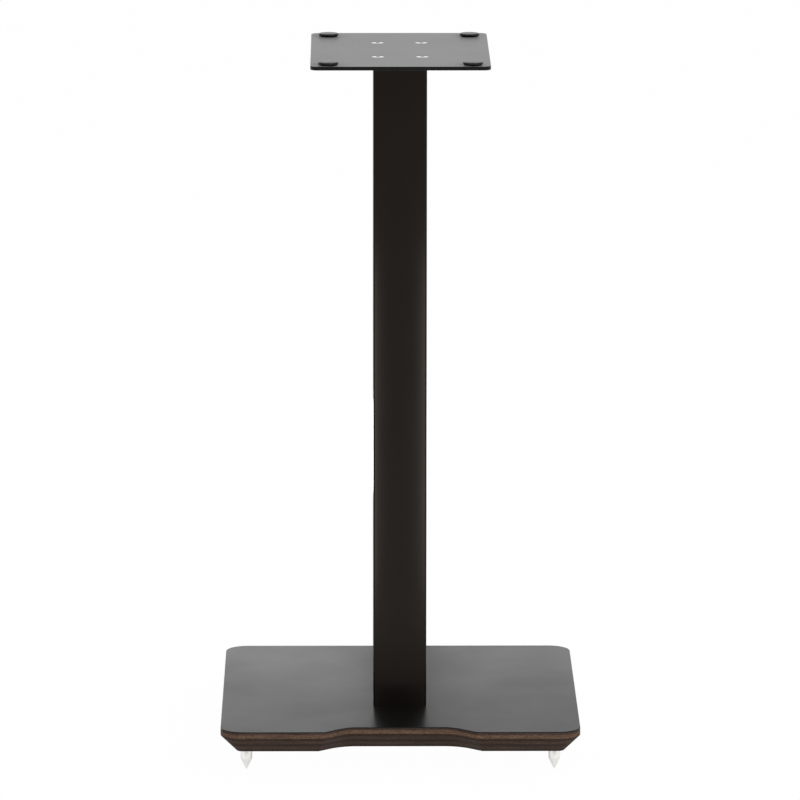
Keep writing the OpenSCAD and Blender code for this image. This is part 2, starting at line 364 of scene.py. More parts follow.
@dataclass(frozen=True)
class Metal(Finish):
    """Bare or plated metal, which shows the room in its own tint."""

    lines: Size = (6.0, 6.0, 0.3)  # Size of the fine turning or polishing marks along each axis
    line_depth: float = 0.002  # Depth of the marks
    uneven: float = 0.04  # How far the roughness wanders to each side of its mean

    def dress(self, graph: Graph, shader: Node) -> None:
        """Make the shader a metal, with its marks.

        Args:
            graph: The material's tree.
            shader: Its principled shader.
        """
        shader.inputs["Metallic"].default_value = 1.0
        marks = graph.noise(self.lines, 3.0)
        gloss = graph.wander(marks, self.roughness, self.uneven)
        graph.tree.links.new(gloss, shader.inputs["Roughness"])
        graph.bump(shader, marks, self.line_depth)


@dataclass(frozen=True)
class MouldedRubber(Finish):
    """Black rubber, moulded in a spark-eroded tool: matt, with a fine even grain."""

    bloom: Mottle = Mottle((5.0, 5.0, 5.0), 3.0, 0.85, 1.2)  # The faint patches of bloom
    grain: float = 0.5  # Size of the tool's grain, drawn coarser than the real 0.1 mm
    grain_depth: float = 0.02  # Depth of the grain

    def dress(self, graph: Graph, shader: Node) -> None:
        """Add the moulded grain and the bloom.

        Args:
            graph: The material's tree.
            shader: Its principled shader.
        """
        colour = graph.mottled(linear(self.colour)[:3], self.bloom)
        graph.tree.links.new(colour, shader.inputs["Base Color"])
        graph.bump(shader, graph.noise((self.grain,) * 3), self.grain_depth)


class Look(Enum):
    """The finishes of the stand's pieces."""

    PLATE = SatinCoat(
        "black satin powder coat on steel", "#080808", 0.36, specular=0.18, sheen=0.71
    )
    SHEET = SatinCoat(
        "black satin laminate", "#080808", 0.36, specular=0.22, peel=2.2, peel_depth=0.001
    )
    POST = SatinCoat(
        "warm black satin coat on aluminium", "#0A0807", 0.18, specular=0.22, tint="#FFECDD"
    )
    SCREW = Metal("zinc plated steel", "#FEFEFD", 0.17)
    SPIKE = Metal("polished nickel plated steel", "#FDFCF9", 0.16, lines=(60.0, 60.0, 0.4))
    INSERT = Metal("turned brass", "#D9B565", 0.3)
    RUBBER = MouldedRubber("moulded black rubber", "#161616", 0.24, specular=0.2)

    def material(self) -> bpy.types.Material:
        """The finish's material."""
        return self.value.material()


# Outlines and edges


def sweep(centre: Vector, spoke: Vector, turn: float, steps: int) -> list[Vector]:
    """Points along an arc, from the spoke's end through an anticlockwise angle."""
    return [centre + Matrix.Rotation(turn * i / steps, 2) @ spoke for i in range(steps + 1)]


def rounded(corner: Vector, back: Vector, ahead: Vector, radius: float, steps: int) -> list[Vector]:
    """Points along the arc that rounds a corner.

    Args:
        corner: The sharp corner.
        back: The direction to the corner before it, of length 1.
        ahead: The direction to the corner after it, of length 1.
        radius: The arc's radius.
        steps: The number of its segments.

    Returns:
        The points in order.
    """
    half = back.angle(ahead) / 2
    centre = corner + (back + ahead).normalized() * radius / math.sin(half)
    spoke = corner + back * radius / math.tan(half) - centre
    turn = math.copysign(math.pi - 2 * half, back.angle_signed(ahead))
    return sweep(centre, spoke, turn, steps)


@dataclass(frozen=True)
class Station:
    """A corner of a half section or of an edge."""

    out: float  # Distance from the axis, or how far an edge is moved in
    z: float  # Height
    fillet: float = 0.0  # Radius that rounds this corner
    # Share of the thread's full depth on the stretch up to the next station, below 0 in a nut
    thread: float = 0.0
    hexagon: float = 0.0  # 1 where the ring is a hexagon whose flats lie at ``out`` from the axis


@dataclass(frozen=True)
class Section:
    """A polyline of stations whose corners are rounded."""

    FILLET_STEPS = 5  # Segments of a rounded corner
    FILLET_SHARE = 0.49  # Share of the shorter side that a rounded corner may take up
    ROWS_PER_TURN = 8  # Rings of vertices in each turn of a thread

    stations: tuple[Station, ...]  # The corners in order
    closed: bool = False  # True if the last station joins the first
    pitch: float = 1.0  # Pitch of the threads

    def points(self) -> list[Station]:
        """The stations with their fillets and thread rows filled in.

        Returns:
            All the stations in order.
        """
        found: list[Station] = []
        count = len(self.stations)
        for i, here in enumerate(self.stations):
            inside = self.closed or 0 < i < count - 1
            if here.fillet and inside:
                found += self.fillet(self.stations[i - 1], here, self.stations[(i + 1) % count])
            else:
                found.append(here)
            ahead = self.stations[(i + 1) % count]
            if here.thread and ahead.thread:
                found += self.thread_rows(here, ahead)
        return found

    def fillet(self, before: Station, here: Station, after: Station) -> list[Station]:
        """The points of one rounded corner.

        Args:
            before: The station before the corner.
            here: The corner.
            after: The station after it.

        Returns:
            The stations along the arc.
        """
        corner = Vector((here.out, here.z))
        back = Vector((before.out, before.z)) - corner
        ahead = Vector((after.out, after.z)) - corner
        room = self.FILLET_SHARE * min(back.length, ahead.length)
        radius = min(here.fillet, room * math.tan(back.angle(ahead) / 2))
        arc = rounded(corner, back.normalized(), ahead.normalized(), radius, self.FILLET_STEPS)
        return [Station(*point) for point in arc]

    def thread_rows(self, here: Station, ahead: Station) -> list[Station]:
        """Rows between two stations, close enough together to carry a thread.

        Args:
            here: The station where the thread starts.
            ahead: The station where it ends.

        Returns:
            The rows between them.
        """
        rows = max(2, round(abs(ahead.z - here.z) / self.pitch * self.ROWS_PER_TURN))
        return [
            Station(
                here.out + (ahead.out - here.out) * i / rows,
                here.z + (ahead.z - here.z) * i / rows,
                thread=here.thread,
            )
            for i in range(1, rows)
        ]


@dataclass(frozen=True)
class Corner:
    """A corner of an outline seen from above."""

    x: float
    y: float
    radius: float


def rectangle(low: Vector, high: Vector, radius: float) -> list[Corner]:
    """The corners of the rectangle round a box, anticlockwise from its low corner."""
    places = ((low.x, low.y), (high.x, low.y), (high.x, high.y), (low.x, high.y))
    return [Corner(x, y, radius) for x, y in places]


@dataclass(frozen=True)
class Outline:
    """A closed outline, anticlockwise, with each corner rounded to its own radius."""

    corners: tuple[Corner, ...]  # The sharp corners in order
    steps: int = 14  # The number of segments in each rounded corner
    sharpest: float = 0.25  # The smallest radius that a corner keeps when the outline is moved in

    def ring(self, inset: float) -> list[Vector]:
        """The outline's points, moved in by an inset.

        Args:
            inset: How far the outline is moved in.

        Returns:
            The points, with as many for every inset.
        """
        found: list[Vector] = []
        count = len(self.corners)
        for i, corner in enumerate(self.corners):
            here = Vector((corner.x, corner.y))
            back = (self.place(i - 1) - here).normalized()
            ahead = (self.place((i + 1) % count) - here).normalized()
            outward = math.copysign(1.0, back.angle_signed(ahead))
            shift = (back + ahead).normalized() * outward * inset / math.sin(back.angle(ahead) / 2)
            radius = max(corner.radius - outward * inset, self.sharpest)
            found += rounded(here + shift, back, ahead, radius, self.steps)
        return found

    def place(self, index: int) -> Vector:
        """The sharp corner at an index, as a vector."""
        return Vector((self.corners[index].x, self.corners[index].y))


# Meshes


def shown(name: str, mesh: Mesh) -> Object:
    """Put a mesh into the scene as an object at the origin.

    Args:
        name: The object's name.
        mesh: Its mesh.

    Returns:
        The object.
    """
    made = bpy.data.objects.new(name, mesh)
    bpy.context.scene.collection.objects.link(made)
    return made


def baked(rough: Object, name: str) -> Object:
    """Turn an object with modifiers into a plain mesh of its own.

    Args:
        rough: The object with its modifiers, which is removed.
        name: The new object's name.

    Returns:
        The new object, at the origin.
    """
    graph = bpy.context.evaluated_depsgraph_get()
    mesh = bpy.data.meshes.new_from_object(rough.evaluated_get(graph))
    rough.modifiers.clear()
    old = rough.data
    bpy.data.objects.remove(rough)
    bpy.data.meshes.remove(old)
    mesh.name = name
    mesh.shade_smooth()
    mesh.set_sharp_from_angle(angle=SHARP_ANGLE)
    return shown(name, mesh)


@dataclass(frozen=True)
class Hole:
    """A round hole in a slab."""

    x: float  # Centre, left to right
    y: float  # Centre, front to back
    rings: Section  # The hole's radius and height, in ``out`` and ``z``, from the lower face up
    through: bool = True  # True if it opens in the upper face too


@dataclass(frozen=True)
class Slab:
    """A flat piece with a shaped outline and edge, and round holes."""

    outline: Outline  # The outline seen from above
    # How far the outline moves in, against height, from the lower face to the upper one
    edge: Section
    holes: tuple[Hole, ...] = ()
    hole_segments: int = 48  # The number of segments round each hole

    def build(self, name: str, material: bpy.types.Material) -> Object:
        """Build the slab as a closed mesh.

        Args:
            name: The piece's name.
            material: Its finish.

        Returns:
            The piece.
        """
        shell = bmesh.new()
        levels = [self.ring_of(shell, self.outline.ring(s.out), s.z) for s in self.edge.points()]
        floor, ceiling = [levels[0]], [levels[-1]]
        flat: list[BMFace] = []
        self.wall(shell, levels)
        for hole in self.holes:
            stations = hole.rings.points()
            rings = [self.ring_of(shell, self.circle(hole, s.out), s.z) for s in stations]
            self.wall(shell, rings)
            floor.append(rings[0])
            if hole.through:
                ceiling.append(rings[-1])
            else:
                flat.append(shell.faces.new(rings[-1]))
        for rings in (floor, ceiling):
            edges = [
                shell.edges.get((ring[i - 1], ring[i])) for ring in rings for i in range(len(ring))
            ]
            made = bmesh.ops.triangle_fill(shell, use_beauty=True, edges=edges)["geom"]
            flat += [face for face in made if isinstance(face, BMFace)]
        bmesh.ops.recalc_face_normals(shell, faces=shell.faces)
        for face in shell.faces:
            face.smooth = True
        for face in flat:
            face.smooth = False
        mesh = bpy.data.meshes.new(name)
        shell.to_mesh(mesh)
        shell.free()
        mesh.materials.append(material)
        mesh.set_sharp_from_angle(angle=SHARP_ANGLE)
        return shown(name, mesh)

    def ring_of(self, shell: BMesh, points: Iterable[Vector], z: float) -> list[BMVert]:
        """Add a ring of vertices at one height."""
        return [shell.verts.new((p.x * MM, p.y * MM, z * MM)) for p in points]

    def wall(self, shell: BMesh, rings: Sequence[Sequence[BMVert]]) -> None:
        """Join rings of as many vertices with quads.

        Args:
            shell: The mesh.
            rings: The rings, from the first to the last.
        """
        for low, high in zip(rings, rings[1:]):
            for i in range(len(low)):
                shell.faces.new((low[i - 1], low[i], high[i], high[i - 1]))

    def circle(self, hole: Hole, radius: float) -> list[Vector]:
        """The points of a hole's ring."""
        ring = sweep(Vector((hole.x, hole.y)), Vector((radius, 0.0)), math.tau, self.hole_segments)
        return ring[:-1]


# Geometry Nodes


@dataclass
class NodesTool:
    """A Geometry Nodes tree that is used as a tool, with named inputs."""

    name: str  # The tree's name
    kinds: dict[str, str]  # The socket type of each named input
    weld: float  # Distance below which vertices are joined, in metres
    graph: Graph = field(init=False)

    def __post_init__(self) -> None:
        """Make the tree with its sockets, and build its nodes."""
        tree = bpy.data.node_groups.new(self.name, "GeometryNodeTree")
        self.graph = Graph(tree)
        for label, kind in {"Geometry": "NodeSocketGeometry", **self.kinds}.items():
            tree.interface.new_socket(label, in_out="INPUT", socket_type=kind)
        tree.interface.new_socket("Geometry", in_out="OUTPUT", socket_type="NodeSocketGeometry")
        entry = self.graph.add("NodeGroupInput", {})
        result = self.nodes(entry.outputs)
        real = self.graph.add("GeometryNodeRealizeInstances", {"Geometry": result})
        dressed = self.graph.add("GeometryNodeSetMaterial", {
            "Geometry": real.outputs[0], "Material": entry.outputs["Finish"],
        })
        self.graph.add("NodeGroupOutput", {"Geometry": dressed.outputs[0]})

    def nodes(self, given: NodeOutputs) -> Socket:
        """Build the tool's own nodes, and give the geometry of the result."""
        raise NotImplementedError

    def welded(self, geometry: Socket) -> Socket:
        """The geometry with its doubled vertices joined."""
        inputs = {"Geometry": geometry, "Distance": self.weld}
        return self.graph.add("GeometryNodeMergeByDistance", inputs).outputs[0]

    def run(self, name: str, source: Mesh, values: dict[str, Input]) -> Object:
        """Run the tool on a mesh.

        Args:
            name: The name of the piece.
            source: The mesh that the tree works on.
            values: The value of each named input.

        Returns:
            The result as a plain mesh at the origin.
        """
        rough = shown(name + "_source", source)
        modifier = rough.modifiers.new(self.name, "NODES")
        modifier.node_group = self.graph.tree
        for item in self.graph.tree.interface.items_tree:
            if item.in_out == "INPUT" and item.name in values:
                modifier[item.identifier] = values[item.name]
        return baked(rough, name)


@dataclass
class Lathe(NodesTool):
    """Turns a half section about the vertical axis and sets a copy at each place.

    Threads and hexagons are formed from attributes on the half section's points.
    """

    name: str = "lathe"
    kinds: dict[str, str] = field(default_factory=lambda: {
        "Half Section": "NodeSocketObject",
        "Segments": "NodeSocketInt",
        "Thread Pitch": "NodeSocketFloat",
        "Thread Depth": "NodeSocketFloat",
        "Finish": "NodeSocketMaterial",
    })
    weld: float = 2e-6
    core: float = 1e-7  # Radius of the circle that the half section is swept along, in metres

    def attribute(self, name: str) -> Socket:
        """The value of a named attribute."""
        node = self.graph.add("GeometryNodeInputNamedAttribute", {"Name": name})
        return node.outputs["Attribute"]

    def nodes(self, given: NodeOutputs) -> Socket:
        """Turn the section, form its threads and hexagons, and place the copies.

        Args:
            given: The outputs of the tree's input node.

        Returns:
            The geometry of all the copies.
        """
        add = self.graph.add
        info = add("GeometryNodeObjectInfo", {"Object": given["Half Section"]})
        half = add("GeometryNodeMeshToCurve", {"Mesh": info.outputs["Geometry"]})
        path = add("GeometryNodeCurvePrimitiveCircle", {
            "Resolution": given["Segments"], "Radius": self.core,
        })
        turned = add("GeometryNodeCurveToMesh", {
            "Curve": path.outputs["Curve"], "Profile Curve": half.outputs["Curve"],
        })
        formed = add("GeometryNodeSetPosition", {
            "Geometry": turned.outputs["Mesh"], "Position": self.formed_position(given),
        })
        return add("GeometryNodeInstanceOnPoints", {
            "Points": given["Geometry"], "Instance": self.welded(formed.outputs[0]),
        }).outputs[0]

    def formed_position(self, given: NodeOutputs) -> Socket:
        """Each vertex's place after the thread is cut and the hexagon formed.

        Args:
            given: The outputs of the tree's input node.

        Returns:
            The place of each vertex.
        """
        step = self.graph.math
        place = self.graph.add("GeometryNodeInputPosition", {})
        x, y, z = self.graph.add("ShaderNodeSeparateXYZ", {"Vector": place.outputs[0]}).outputs
        angle = step("ARCTAN2", y, x)
        radius = step("SQRT", step("ADD", step("MULTIPLY", x, x), step("MULTIPLY", y, y)))
        # A hexagon's radius is least at the middle of a flat and grows towards the corners
        side = step("WRAP", angle, math.pi / 6, -math.pi / 6)
        bulge = step("SUBTRACT", step("DIVIDE", 1.0, step("COSINE", side)), 1.0)
        hexed = step("MULTIPLY_ADD", self.attribute("hexagon"), bulge, 1.0)
        # A thread is a V-shaped groove that climbs by one pitch in each turn
        rise = step("DIVIDE", z, given["Thread Pitch"])
        turns = step("SUBTRACT", rise, step("DIVIDE", angle, math.tau))
        groove = step("MULTIPLY", step("PINGPONG", turns, 0.5), 2.0)
        cut = step("MULTIPLY", groove, given["Thread Depth"])
        cut = step("MULTIPLY", cut, self.attribute("thread"))
        share = step("SUBTRACT", hexed, step("DIVIDE", cut, radius))
        return self.graph.add("ShaderNodeCombineXYZ", {
            0: step("MULTIPLY", x, share), 1: step("MULTIPLY", y, share), 2: z,
        }).outputs[0]

    def turn(
        self,
        name: str,
        section: Section,
        places: Sequence[Vector],
        look: Look,
        segments: int = 48,
        thread_depth: float = 0.5,
    ) -> Object:
        """Turn a piece and set a copy at each place.

        Args:
            name: The piece's name.
            section: Its half section, anticlockwise from the axis at its foot.
            places: Where the copies stand.
            look: The finish.
            segments: The number of segments round the axis.
            thread_depth: Depth of its threads.

        Returns:
            All the copies as one piece.
        """
        half = self.half_section(name + "_half_section", section)
        points = bpy.data.meshes.new(name + "_places")
        points.from_pydata([place * MM for place in places], [], [])
        made = self.run(name, points, {
            "Half Section": half,
            "Segments": segments,
            "Thread Pitch": section.pitch * MM,
            "Thread Depth": thread_depth * MM,
            "Finish": look.material(),
        })
        bpy.data.meshes.remove(half.data)
        return made

    def half_section(self, name: str, section: Section) -> Object:
        """The half section as a wire, mirrored as the circle's own axes ask.

        Args:
            name: The wire's name.
            section: The half section.

        Returns:
            The wire, with its threads and hexagons as attributes.
        """
        stations = section.points()[::-1]
        count = len(stations)
        wire = bpy.data.meshes.new(name)
        wire.from_pydata(
            [(s.out * MM, -s.z * MM, 0.0) for s in stations],
            [(i, (i + 1) % count) for i in range(count if section.closed else count - 1)],
            [],
        )
        for label in ("thread", "hexagon"):
            layer = wire.attributes.new(label, "FLOAT", "POINT")
            layer.data.foreach_set("value", [getattr(s, label) for s in stations])
        return shown(name, wire)


@dataclass
class Press(NodesTool):
    """Extrudes a flat section, with its chambers, straight up."""

    name: str = "extrusion press"
    kinds: dict[str, str] = field(default_factory=lambda: {
        "Foot": "NodeSocketFloat",
        "Length": "NodeSocketFloat",
        "Finish": "NodeSocketMaterial",
    })
    weld: float = 1e-6

    def nodes(self, given: NodeOutputs) -> Socket:
        """Fill the section, draw it out and close its lower end.

        Args:
            given: The outputs of the tree's input node.

        Returns:
            The geometry of the extrusion.
        """
        add = self.graph.add
        loops = add("GeometryNodeMeshToCurve", {"Mesh": given["Geometry"]})
        face = add("GeometryNodeFillCurve", {"Curve": loops.outputs["Curve"]})
        drawn = add("GeometryNodeExtrudeMesh", {
            "Mesh": face.outputs["Mesh"],
            "Offset": (0.0, 0.0, 1.0),
            "Offset Scale": given["Length"],
            "Individual": False,
        })
        end = add("GeometryNodeFlipFaces", {"Mesh": face.outputs["Mesh"]})
        both = add("GeometryNodeJoinGeometry", {})
        for part in (drawn, end):
            self.graph.tree.links.new(part.outputs["Mesh"], both.inputs[0])
        foot = add("ShaderNodeCombineXYZ", {2: given["Foot"]})
        return add("GeometryNodeTransform", {
            "Geometry": self.welded(both.outputs[0]), "Translation": foot.outputs[0],
        }).outputs[0]


# The stand's pieces


@dataclass(frozen=True)
class Levels:
    """The heights and places that the frame gives."""

    board: tuple[Vector, Vector]  # Corners of the plywood board's box
    sheet: tuple[Vector, Vector]  # Corners of the top sheet's box
    post: tuple[Vector, Vector]  # Corners of the post's box
    plate: tuple[Vector, Vector]  # Corners of the top plate's box
    port_x: float  # Distance of the screws from the middle, left to right
    port_y: float  # Distance of the screws from the post's middle, front to back

    @classmethod
    def of_frame(cls) -> Levels:
        """Read the levels from the frame's nodes.

        Returns:
            The levels.
        """
        names = ("base_board", "base_top_sheet", "post", "top_plate")
        board, sheet, post, plate = (millimetres(*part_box(name)) for name in names)
        # The washers' box ends one washer's radius beyond the screws
        _, far = millimetres(*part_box("base_screw_washers"))
        washer_r = Fasteners.WASHER_D / 2
        middle = (post[0].y + post[1].y) / 2
        return cls(board, sheet, post, plate, far.x - washer_r, far.y - washer_r - middle)

    @property
    def post_y(self) -> float:
        """Middle of the post, front to back."""
        return (self.post[0].y + self.post[1].y) / 2

    def ports(self, z: float) -> list[Vector]:
        """The four screw places at a height.

        Args:
            z: The height.

        Returns:
            The places.
        """
        return [
            Vector((side * self.port_x, self.post_y + end * self.port_y, z))
            for side in (-1, 1) for end in (-1, 1)
        ]


@dataclass(frozen=True)
class Base:
    """The plywood board and its top sheet."""

    corner_r: float = 21.0  # Radius of the outer corners
    recess_depth: float = 18.5  # How far the front recess runs back
    recess_mouth_w: float = 141.0  # Width of the recess at its mouth
    recess_floor_w: float = 98.0  # Width of the recess at its back
    mouth_r: float = 4.0  # Radius of the bends at the mouth
    floor_r: float = 23.0  # Radius of the bends at the back
    band_h: float = 6.2  # Height of the upright band at the top of the edge
    undercut: float = 15.0  # How far the edge slopes in below the band
    ease: float = 0.4  # Radius by which the board's edges are eased with sandpaper
    sheet_ease: float = 0.35  # Radius of the sheet's trimmed edge
    counterbore_r: float = 7.0  # Radius of the counterbores
    counterbore_depth: float = 8.5  # Their depth
    clearance_r: float = 3.3  # Radius of the holes for the screws
    insert_r: float = 5.55  # Radius of the holes for the inserts
    insert_depth: float = 16.5  # Their depth
    flange_r: float = 7.05  # Radius of the step for an insert's flange
    flange_depth: float = 1.2  # Its depth
    # Thickness and colour of each ply, from the top down
    # The second ply, on the upright band, is painted lighter than the long-grain plies lower down:
    # painted light where the band faces the light, and painted shade on the undercut below.
    plies: tuple[tuple[float, str], ...] = (
        (1.6, "#3F312B"), (3.8, "#554236"), (2.6, "#32261F"), (4.0, "#40322A"),
        (2.7, "#32261F"), (4.0, "#40322A"), (2.3, "#32261F"),
    )

    def outline(self, levels: Levels) -> Outline:
        """The base's outline with the recess in its front edge.

        Args:
            levels: The frame's levels.

        Returns:
            The outline of the board and of the sheet.
        """
        low, high = levels.board
        mouth, floor, depth = self.recess_mouth_w / 2, self.recess_floor_w / 2, self.recess_depth
        first, *others = rectangle(low, high, self.corner_r)
        return Outline((
            first,
            Corner(-mouth, low.y, self.mouth_r),
            Corner(-floor, low.y + depth, self.floor_r),
            Corner(floor, low.y + depth, self.floor_r),
            Corner(mouth, low.y, self.mouth_r),
            *others,
        ))

    def build(self, levels: Levels, spikes: Sequence[Vector]) -> None:
        """Build the board and the sheet.

        Args:
            levels: The frame's levels.
            spikes: The places of the spikes.
        """
        low, high = levels.board
        foot = low.z
        wood = StainedPlywood(
            "dark stained plywood", "#40322A", 0.6, specular=0.08, plies=self.plies, top=high.z,
        ).material()
        edge = Section((
            Station(self.undercut + 2 * self.ease, foot),
            Station(self.undercut, foot, self.ease),
            Station(0.0, high.z - self.band_h, self.ease),
            Station(0.0, high.z),
        ))
        screw_hole = Section((
            Station(self.counterbore_r, foot),
            Station(self.counterbore_r, foot + self.counterbore_depth),
            Station(self.clearance_r, foot + self.counterbore_depth),
            Station(self.clearance_r, high.z),
        ))
        insert_hole = Section((
            Station(self.flange_r, foot),
            Station(self.flange_r, foot + self.flange_depth),
            Station(self.insert_r, foot + self.flange_depth),
            Station(self.insert_r, foot + self.insert_depth),
        ))
        holes = [Hole(p.x, p.y, screw_hole) for p in levels.ports(foot)]
        holes += [Hole(p.x, p.y, insert_hole, through=False) for p in spikes]
        board = Slab(self.outline(levels), edge, tuple(holes)).build("plywood_board", wood)
        settle(board, "stand", "plywood", "base_board")
        self.build_sheet(levels)

    def build_sheet(self, levels: Levels) -> None:
        """Build the sheet that is bonded on the board.

        Args:
            levels: The frame's levels.
        """
        low, high = levels.sheet
        edge = Section((
            Station(0.0, low.z),
            Station(0.0, high.z, self.sheet_ease),
            Station(2 * self.sheet_ease, high.z),
        ))
        bore = Section((Station(self.clearance_r, low.z), Station(self.clearance_r, high.z)))
        holes = tuple(Hole(p.x, p.y, bore) for p in levels.ports(low.z))
        slab = Slab(self.outline(levels), edge, holes)
        sheet = slab.build("laminate_sheet", Look.SHEET.material())
        settle(sheet, "stand", "base_sheet", "base_top_sheet")


@dataclass(frozen=True)
class TopPlate:
    """The steel plate that the speaker stands on."""

    corner_r: float = 7.0  # Radius of its corners
    ease: float = 0.4  # Radius of its deburred edges
    hole_r: float = 3.1  # Radius of the holes for the screws
    sink_r: float = 5.9  # Radius of the countersinks
    sink_lip: float = 0.1  # Depth of the straight rim above each countersink
    sink_cone: float = 2.8  # Height of the countersink's cone

    def build(self, levels: Levels) -> None:
        """Build the plate.

        Args:
            levels: The frame's levels.
        """
        low, high = levels.plate
        outline = Outline(tuple(rectangle(low, high, self.corner_r)))
        edge = Section((
            Station(2 * self.ease, low.z),
            Station(0.0, low.z, self.ease),
            Station(0.0, high.z, self.ease),
            Station(2 * self.ease, high.z),
        ))
        sink = Section((
            Station(self.hole_r, low.z),
            Station(self.hole_r, high.z - self.sink_lip - self.sink_cone),
            Station(self.sink_r, high.z - self.sink_lip),
            Station(self.sink_r, high.z),
        ))
        holes = tuple(Hole(p.x, p.y, sink) for p in levels.ports(low.z))
        plate = Slab(outline, edge, holes).build("steel_plate", Look.PLATE.material())
        settle(plate, "stand", "plate_coat", "top_plate")


@dataclass(frozen=True)
class Post:
    """The extruded post: a crowned tube with two chambers and four screw ports."""

    crown: float = 1.2  # How far the middle of the front and rear faces bulges past their edges
    edge_r: float = 2.0  # Radius of the four long edges
    wall: float = 2.5  # Wall thickness
    web: float = 2.5  # Thickness of the web between the chambers
    boss_r: float = 4.5  # Outer radius of a screw port
    port_r: float = 3.05  # Radius of the port's tapped bore
    crown_steps: int = 24  # Segments along a crowned face
    arc_steps: int = 10  # Segments round an edge or a port

    def build(self, levels: Levels, press: Press) -> None:
        """Build the post.

        Args:
            levels: The frame's levels.
            press: The tool that extrudes its section.
        """
        low, high = levels.post
        half_w, half_d = (high.x - low.x) / 2, (high.y - low.y) / 2
        loops = [self.skin(half_w, half_d)]
        for end in (-1, 1):
            loops.append([Vector((p.x, p.y * end)) for p in self.chamber(levels, half_w, half_d)])
            for side in (-1, 1):
                port = Vector((side * levels.port_x, end * levels.port_y))
                spoke = Vector((self.port_r, 0.0))
                loops.append(sweep(port, spoke, math.tau, 2 * self.arc_steps)[:-1])
        section = bpy.data.meshes.new("post_section")
        points, edges = [], []
        for loop in loops:
            first, count = len(points), len(loop)
            points += [(p.x * MM, (p.y + levels.post_y) * MM, 0.0) for p in loop]
            edges += [(first + i, first + (i + 1) % count) for i in range(count)]
        section.from_pydata(points, edges, [])
        post = press.run("coated_post", section, {
            "Foot": low.z * MM, "Length": (high.z - low.z) * MM, "Finish": Look.POST.material(),
        })
        settle(post, "stand", "post_coat", "post")

    def crown_radius(self, half_w: float) -> float:
        """Radius of the crowned faces."""
        return (half_w**2 + self.crown**2) / (2 * self.crown)

    def crowned(self, centre: Vector, radius: float, lean: float) -> list[Vector]:
        """The inner points of a crowned face, which leans out by an angle at both of its ends."""
        spoke = radius * Vector((math.sin(lean), math.cos(lean)))
        return sweep(centre, spoke, 2 * lean, self.crown_steps)[1:-1]

    def skin(self, half_w: float, half_d: float) -> list[Vector]:
        """The outer loop, anticlockwise.

        Args:
            half_w: Half the post's width.
            half_d: Half its depth.

        Returns:
            The points of the loop.
        """
        crown_r = self.crown_radius(half_w)
        bend = Vector((half_w - self.edge_r, 0.0))
        bend.y = half_d - crown_r + math.sqrt((crown_r - self.edge_r) ** 2 - bend.x**2)
        middle = Vector((0.0, half_d - crown_r))
        lean = (bend - middle).angle(Vector((0.0, 1.0)))
        right = sweep(bend, Vector((self.edge_r, 0.0)), math.pi / 2 - lean, self.arc_steps)
        top = self.crowned(middle, crown_r, lean)
        left = [Vector((-p.x, p.y)) for p in reversed(right)]
        upper = right + top + left
        return upper + [-p for p in upper]

    def chamber(self, levels: Levels, half_w: float, half_d: float) -> list[Vector]:
        """The loop of the chamber on the +Y side, with a port's boss in two of its corners.

        Args:
            levels: The frame's levels.
            half_w: Half the post's width.
            half_d: Half its depth.

        Returns:
            The points of the loop.
        """
        crown_r = self.crown_radius(half_w) - self.wall
        side = half_w - self.wall
        middle_y = half_d - self.wall - crown_r
        boss = Vector((levels.port_x, levels.port_y))
        start = -math.acos((side - boss.x) / self.boss_r)
        gap = Vector((0.0, middle_y)) - boss
        reach = self.boss_r**2 + gap.length_squared - crown_r**2
        near = math.acos(reach / (2 * self.boss_r * gap.length))
        end = math.atan2(gap.y, gap.x) - near
        turn = end - start - (math.tau if end > start else 0.0)
        spoke = self.boss_r * Vector((math.cos(start), math.sin(start)))
        round_boss = sweep(boss, spoke, turn, 2 * self.arc_steps)
        last = round_boss[-1] - Vector((0.0, middle_y))
        lean = math.atan2(last.x, last.y)
        front = self.crowned(Vector((0.0, middle_y)), crown_r, lean)
        return [
            Vector((-side, self.web / 2)),
            Vector((side, self.web / 2)),
            *round_boss,
            *front,
            *[Vector((-p.x, p.y)) for p in reversed(round_boss)],
        ]


